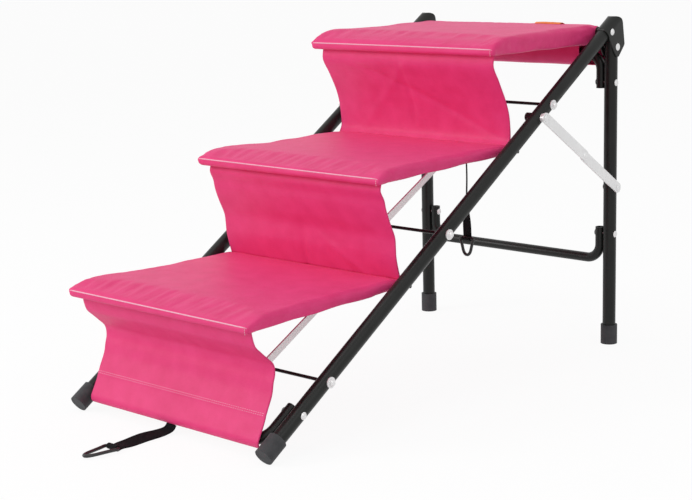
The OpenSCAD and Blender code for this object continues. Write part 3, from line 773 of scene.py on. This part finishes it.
def label(pad):
    """The blank tab: a short folded ribbon whose middle stands off the cloth."""
    low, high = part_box("label_tab")
    verts = []
    cols, rows = 27, 9
    for r in range(rows):
        v = r / (rows - 1)
        for c in range(cols):
            u = 2 * c / (cols - 1) - 1
            rise = LABEL_STAND * math.sin(math.pi * min(1, v * 1.15)) ** 0.8 * (1 - 0.25 * u * u)
            wave = 0.25 * MM * undulation(u * 0.05, v * 0.02, 12 * MM, 55)
            x = low.x + LABEL_SHIFT + (high.x - low.x) * (u + 1) / 2
            y = low.y - LABEL_SHIFT + (high.y - low.y) * v
            under = pad.ray_cast((x, y, 1), (0, 0, -1))[1].z
            verts.append((x, y, under + 0.5 * MM + rise + wave))
    obj = mesh_object("orange_label", verts, grid_faces(rows, cols), LABEL)
    solidify(obj, LABEL_T)
    return obj, (high.x - low.x, high.y - low.y + LABEL_FOLD)


def lowest_face():
    """The first front face, from the seam to the hem under the front crossbar."""
    path, steps = smooth(face_path(0)[:-1] + arc(FRONT_BAR, HEM_R, 150, 255), CLOTH_GRID)
    total = steps[-1]

    def lift(x, s):
        stitch = bell(s, total - HEM_ROWS[0], 2.2 * MM)
        return face_relief(0, x, s / total) * FACE_1_RELIEF - 0.5 * MM * stitch

    obj = cloth_sheet("front_face_1", path, steps, lambda s: FACE_HALF, lift, 5.0)
    return obj, (2 * FACE_HALF, total), path, steps


def hem_back():
    """The hem's rear layer: round the crossbar and up behind the face to the stitching."""
    rise = [p + np.array((CLOTH_T + 0.8 * MM, 0)) for p in face_path(0)[-3:-1]][::-1]
    path, steps = smooth(arc(FRONT_BAR, HEM_R, 258, 390) + rise, CLOTH_GRID)
    keep = path[:, 1] < HEM_TOP_Z
    path, steps = path[keep], steps[keep]
    obj = cloth_sheet("front_hem_back", path, steps, lambda s: HEM_HALF, lambda x, s: 0.0, 6.0)
    return obj, (2 * HEM_HALF, float(steps[-1]))


def stitches(name, points, normal, length, pitch):
    """A row of short thread bumps along a line of points."""
    line = smooth(points, pitch)[0]
    rings = len(STITCH_RINGS)
    n = Vector(normal)
    verts, faces = [], []
    for i in range(len(line) - 1):
        a, b = Vector(line[i]), Vector(line[i + 1])
        along = (b - a).normalized()
        side = along.cross(n).normalized()
        base = len(verts)
        for t, r in STITCH_RINGS:
            centre = a + along * (length * t)
            verts += [centre + (side * math.cos(turn) + n * math.sin(turn)) * STITCH_R * r
                      for turn in circle(STITCH_SIDES)]
        faces += tube_faces(rings, STITCH_SIDES, base) + end_faces(rings, STITCH_SIDES, base)
    return mesh_object(name, verts, faces, THREAD_AND_HIGHLIGHT)


def ribbon(name, centre, across, width, thickness):
    """A flat strap: centre points with, at each, the direction of its width."""
    verts = []
    for i, point in enumerate(centre):
        ahead = Vector(centre[min(i + 1, len(centre) - 1)]) - Vector(centre[max(i - 1, 0)])
        side = Vector(across[i])
        side = (side - ahead.normalized() * side.dot(ahead.normalized())).normalized()
        verts += [Vector(point) + side * width * share for share in RIBBON_SHARES]
    obj = mesh_object(name, verts, grid_faces(len(centre), len(RIBBON_SHARES)), WEBBING)
    solidify(obj, thickness)
    return obj


def declare_strap(obj, node):
    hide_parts(node)
    on_frame(obj)


def wire_loop(name, corners):
    """A closed ring of round wire through rounded corners."""
    loop = [Vector(p) for p in corners]
    for _ in range(RING_CUTS):
        made = []
        for i, a in enumerate(loop):
            b = loop[(i + 1) % len(loop)]
            made += [a.lerp(b, 0.25), a.lerp(b, 0.75)]
        loop = made
    count = len(loop)
    plane = (loop[count // 3] - loop[0]).cross(loop[2 * count // 3] - loop[0]).normalized()
    verts = []
    for i in range(count):
        along = (loop[(i + 1) % count] - loop[i - 1]).normalized()
        out = along.cross(plane).normalized()
        verts += [loop[i] + (out * math.cos(turn) + plane * math.sin(turn)) * RING_WIRE_R
                  for turn in circle(RING_SIDES)]
    return mesh_object(name, verts, tube_faces(count, RING_SIDES, closed=True), PLASTIC)


def add_camera():
    data = bpy.data.cameras.new("camera")
    cam = bpy.data.objects.new("camera", data)
    bpy.context.scene.collection.objects.link(cam)
    ca, sa = math.cos(CAMERA_AZIMUTH), math.sin(CAMERA_AZIMUTH)
    cp, sp = math.cos(CAMERA_PITCH), math.sin(CAMERA_PITCH)
    ahead = Vector((-sa * cp, ca * cp, -sp))
    right = Vector((ca, sa, 0))
    up = right.cross(ahead)
    cr, sr = math.cos(CAMERA_ROLL), math.sin(CAMERA_ROLL)
    right, up = right * cr + up * sr, up * cr - right * sr
    turn = Matrix((right, up, -ahead)).transposed().to_4x4()
    cam.matrix_world = Matrix.Translation(CAMERA_PLACE) @ turn
    data.lens = LENS_MM
    data.sensor_width = SENSOR_MM
    data.sensor_fit = "HORIZONTAL"
    data.clip_end = 200
    bpy.context.scene.camera = cam


def add_area(name, place, size, power):
    data = bpy.data.lights.new(name, "AREA")
    data.shape = "DISK"
    data.size = size
    data.energy = power
    lamp = bpy.data.objects.new(name, data)
    bpy.context.scene.collection.objects.link(lamp)
    lamp.location = place
    lamp.rotation_euler = (Vector(LIGHT_AIM) - Vector(place)).to_track_quat("-Z", "Y").to_euler()


def seen_rays(tree):
    """One for the rays that show the background: camera, glossy and transmission rays."""
    path = tree.nodes.new("ShaderNodeLightPath")
    total = path.outputs["Is Camera Ray"]
    for kind in ("Is Glossy Ray", "Is Transmission Ray"):
        add = tree.nodes.new("ShaderNodeMath")
        add.operation = "ADD"
        add.use_clamp = True
        link(tree, total, add.inputs[0])
        link(tree, path.outputs[kind], add.inputs[1])
        total = add.outputs["Value"]
    return total


def add_world():
    world = bpy.data.worlds.new("studio")
    bpy.context.scene.world = world
    world.use_nodes = True
    tree = world.node_tree
    back = tree.nodes["Background"]
    back.inputs["Color"].default_value = (1, 1, 1, 1)
    strength = tree.nodes.new("ShaderNodeMapRange")
    strength.inputs["To Min"].default_value = ROOM_LIGHT
    strength.inputs["To Max"].default_value = 1.0
    link(tree, seen_rays(tree), strength.inputs["Value"])
    link(tree, strength.outputs["Result"], back.inputs["Strength"])


def add_floor():
    mat = bpy.data.materials.new("floor_white")
    corners = [(x * FLOOR_REACH, y * FLOOR_REACH, 0) for x, y in ((-1, -1), (1, -1), (1, 1), (-1, 1))]
    floor = mesh_object("floor", corners, [(0, 1, 2, 3)], mat, False)
    mat.use_nodes = True
    tree = mat.node_tree
    bsdf = tree.nodes["Principled BSDF"]
    bsdf.inputs["Base Color"].default_value = (0.86, 0.86, 0.86, 1)
    bsdf.inputs["Roughness"].default_value = 0.9
    glow = tree.nodes.new("ShaderNodeEmission")
    glow.inputs["Strength"].default_value = FLOOR_GLOW
    mix = tree.nodes.new("ShaderNodeMixShader")
    share = tree.nodes.new("ShaderNodeMapRange")
    share.inputs["To Max"].default_value = FLOOR_GLOW_SHARE
    link(tree, seen_rays(tree), share.inputs["Value"])
    link(tree, share.outputs["Result"], mix.inputs["Fac"])
    link(tree, bsdf.outputs["BSDF"], mix.inputs[1])
    link(tree, glow.outputs["Emission"], mix.inputs[2])
    link(tree, mix.outputs["Shader"], tree.nodes["Material Output"].inputs["Surface"])


def front_highlight_bead(pad, k):
    """A narrow bead along the fold of the step's front edge, drawn in the light thread colour as a
    painted highlight line.
    """
    line = []
    slope = Vector((0, 1, -1)).normalized()
    aim = Vector((0, NOSES[k][0] - 1 * MM, NOSES[k][1] + 1 * MM))
    for x in np.linspace(*HIGHLIGHT_BEAD_ENDS, HIGHLIGHT_BEAD_POINTS):
        start = aim + Vector((x, 0, 0)) - slope * 40 * MM
        spot = pad.ray_cast(start, slope)[1]
        line.append(spot - slope * 0.2 * MM)
    count = len(line)
    verts = []
    for i, point in enumerate(line):
        thick = HIGHLIGHT_BEAD_R * min(1, 0.35 + 0.2 * min(i, count - 1 - i))
        verts += [point + Vector((0, math.cos(turn), math.sin(turn))) * thick
                  for turn in circle(HIGHLIGHT_BEAD_SIDES)]
    faces = tube_faces(count, HIGHLIGHT_BEAD_SIDES) + end_faces(count, HIGHLIGHT_BEAD_SIDES)
    on_frame(mesh_object(f"front_highlight_bead_{k + 1}", verts, faces, THREAD_AND_HIGHLIGHT))


def hem_stitches(path, steps):
    """Two rows of stitches along the top of the lowest hem."""
    up = normals(path)
    for row, back in enumerate(HEM_ROWS):
        s = steps[-1] - back
        i = int(np.searchsorted(steps, s))
        point, n = path[i], -up[i]
        points = []
        for x in np.linspace(-FACE_HALF + 2 * MM, FACE_HALF - 2 * MM, 60):
            out = -face_relief(0, x, s / steps[-1]) * FACE_1_RELIEF + 0.75 * MM
            points.append((x, point[0] + n[0] * out, point[1] + n[1] * out))
        obj = stitches(f"hem_stitches_{row + 1}", points, (0, n[0], n[1]), 3.2 * MM, 4.4 * MM)
        on_frame(obj)


def build_cloth():
    pads = [step_pad(k) for k in range(3)]
    for k, pad in enumerate(pads):
        puff(pad, k)
        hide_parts(f"tread_{k + 1}")
        on_frame(pad)
        front_highlight_bead(pad, k)
    for k in (1, 2):
        hang_sheet(*upper_face(k), f"step_pad_{k + 1}", f"riser_{k + 1}")
    face, flat, path, steps = lowest_face()
    hang_sheet(face, flat, "step_pad_1", "riser_1")
    hang_sheet(*hem_back(), "front_crossbar")
    hem_stitches(path, steps)
    hang_sheet(*rear_flap(), "step_pad_3", "rear_flap")
    hang_sheet(*rear_tunnel(), "step_pad_3")
    tab, flat = label(pads[2])
    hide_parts("label_tab")
    on_frame(tab)


def nosing_stitches():
    """A short upright row of stitches at the right end of each step's front edge."""
    x = NOSING_STITCH_X
    for k in range(3):
        y, z = NOSES[k][0] - NOSE_R - 0.15 * MM, NOSES[k][1]
        points = [(x, y + 0.5 * MM, z - 4.4 * MM), (x, y, z), (x, y + 0.2 * MM, z + 4.6 * MM)]
        row = stitches(f"nosing_stitches_{k + 1}", points, (0, -1, 0), 2.2 * MM, 3.2 * MM)
        on_frame(row)


def strap_loop(centre, start, end):
    """The strap's end round the ring's bar, as points in the plane x = centre.x."""
    count = STRAP_LOOP_CUTS
    turns = [math.radians(start + (end - start) * i / count) for i in range(count + 1)]
    return [centre + Vector((0, math.cos(w), math.sin(w))) * STRAP_LOOP_R for w in turns]


def three_cornered_ring(name, node, bar, ahead, length, width):
    """A ring of round wire with a straight bar, in the strap's loop, and a rounded tip."""
    side, half = Vector((1, 0, 0)), width / 2
    tip = bar + ahead * length
    corners = [bar - side * half, bar, bar + side * half,
               bar + side * half * 0.75 + ahead * length * 0.3,
               tip + side * half * 0.4, tip - side * half * 0.4,
               bar - side * half * 0.75 + ahead * length * 0.3]
    ring = wire_loop(name, corners)
    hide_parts(node)
    on_frame(ring)


def floor_strap():
    """The strap from under the lowest hem, along the floor to its ring."""
    low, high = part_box("floor_strap")
    ring_low, ring_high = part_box("floor_strap_ring")
    mid_x, y = (low.x + high.x) / 2, FRONT_BAR[0]
    bar = Vector((mid_x, ring_high.y - RING_INSET, (ring_low.z + ring_high.z) / 2))
    points = [Vector((mid_x + 3 * MM, y + 1 * MM, FRONT_BAR[1] - HEM_R - 1.5 * MM)),
              Vector((mid_x + 2 * MM, y - 4 * MM, 7 * MM)),
              Vector((mid_x + 1 * MM, y - 16 * MM, 4.6 * MM)),
              Vector((mid_x, y - 50 * MM, 4.8 * MM)),
              Vector((mid_x, y - 78 * MM, 3.6 * MM)),
              bar + Vector((0, 8 * MM, -1.6 * MM))]
    line = smooth(points + strap_loop(bar, -80, -330), STRAP_STEP)[0]
    tilt = []
    for i in range(len(line)):
        share = min(1, i / len(line) * 1.12)
        tilt.append(Vector((1, 0, -0.36 * math.sin(math.pi * share))))
    strap = ribbon("floor_strap_web", line, tilt, high.x - low.x, FLOOR_STRAP_T)
    declare_strap(strap, "floor_strap")
    three_cornered_ring("floor_ring", "floor_strap_ring", bar, Vector((0, -1, 0)),
                        ring_high.y - ring_low.y - 2 * RING_INSET,
                        ring_high.x - ring_low.x - 2 * RING_INSET)


def hanging_strap():
    """The strap that hangs from the second crease bar, twisted on its way down to its ring."""
    low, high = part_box("hanging_strap")
    ring_low, ring_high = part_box("hanging_strap_ring")
    mid_x = (low.x + high.x) / 2
    bar = Vector((mid_x, REARS[1][0], ring_high.z - RING_INSET))
    top = Vector((mid_x, REARS[1][0], high.z))
    end = bar + Vector((0, 1.5 * MM, 9 * MM))
    points = [top, top.lerp(end, 0.3) + Vector((0.8 * MM, 0, 0)),
              top.lerp(end, 0.7) - Vector((1 * MM, 0, 0)), end]
    line, steps = smooth(points + strap_loop(bar, 60, -200), STRAP_STEP)
    twist = []
    for s in steps:
        turn = math.radians(HANG_TWIST * (ease(s, 0.45 * steps[-1], 0.8 * steps[-1]) - 1))
        twist.append(Vector((math.cos(turn), math.sin(turn), 0)))
    width = (high.x - low.x) * HANG_STRAP_SHARE
    strap = ribbon("hanging_strap_web", line, twist, width, HANG_STRAP_T)
    declare_strap(strap, "hanging_strap")
    three_cornered_ring("hanging_ring", "hanging_strap_ring", bar, Vector((0, 0, -1)),
                        ring_high.z - ring_low.z - 2 * RING_INSET,
                        ring_high.x - ring_low.x - 2 * RING_INSET)


dress_cad_nodes()
add_camera()
add_world()
add_floor()
for lamp in LIGHTS:
    add_area(*lamp)
build_cloth()
nosing_stitches()
floor_strap()
hanging_strap()

bpy.context.scene.view_settings.view_transform = "Standard"
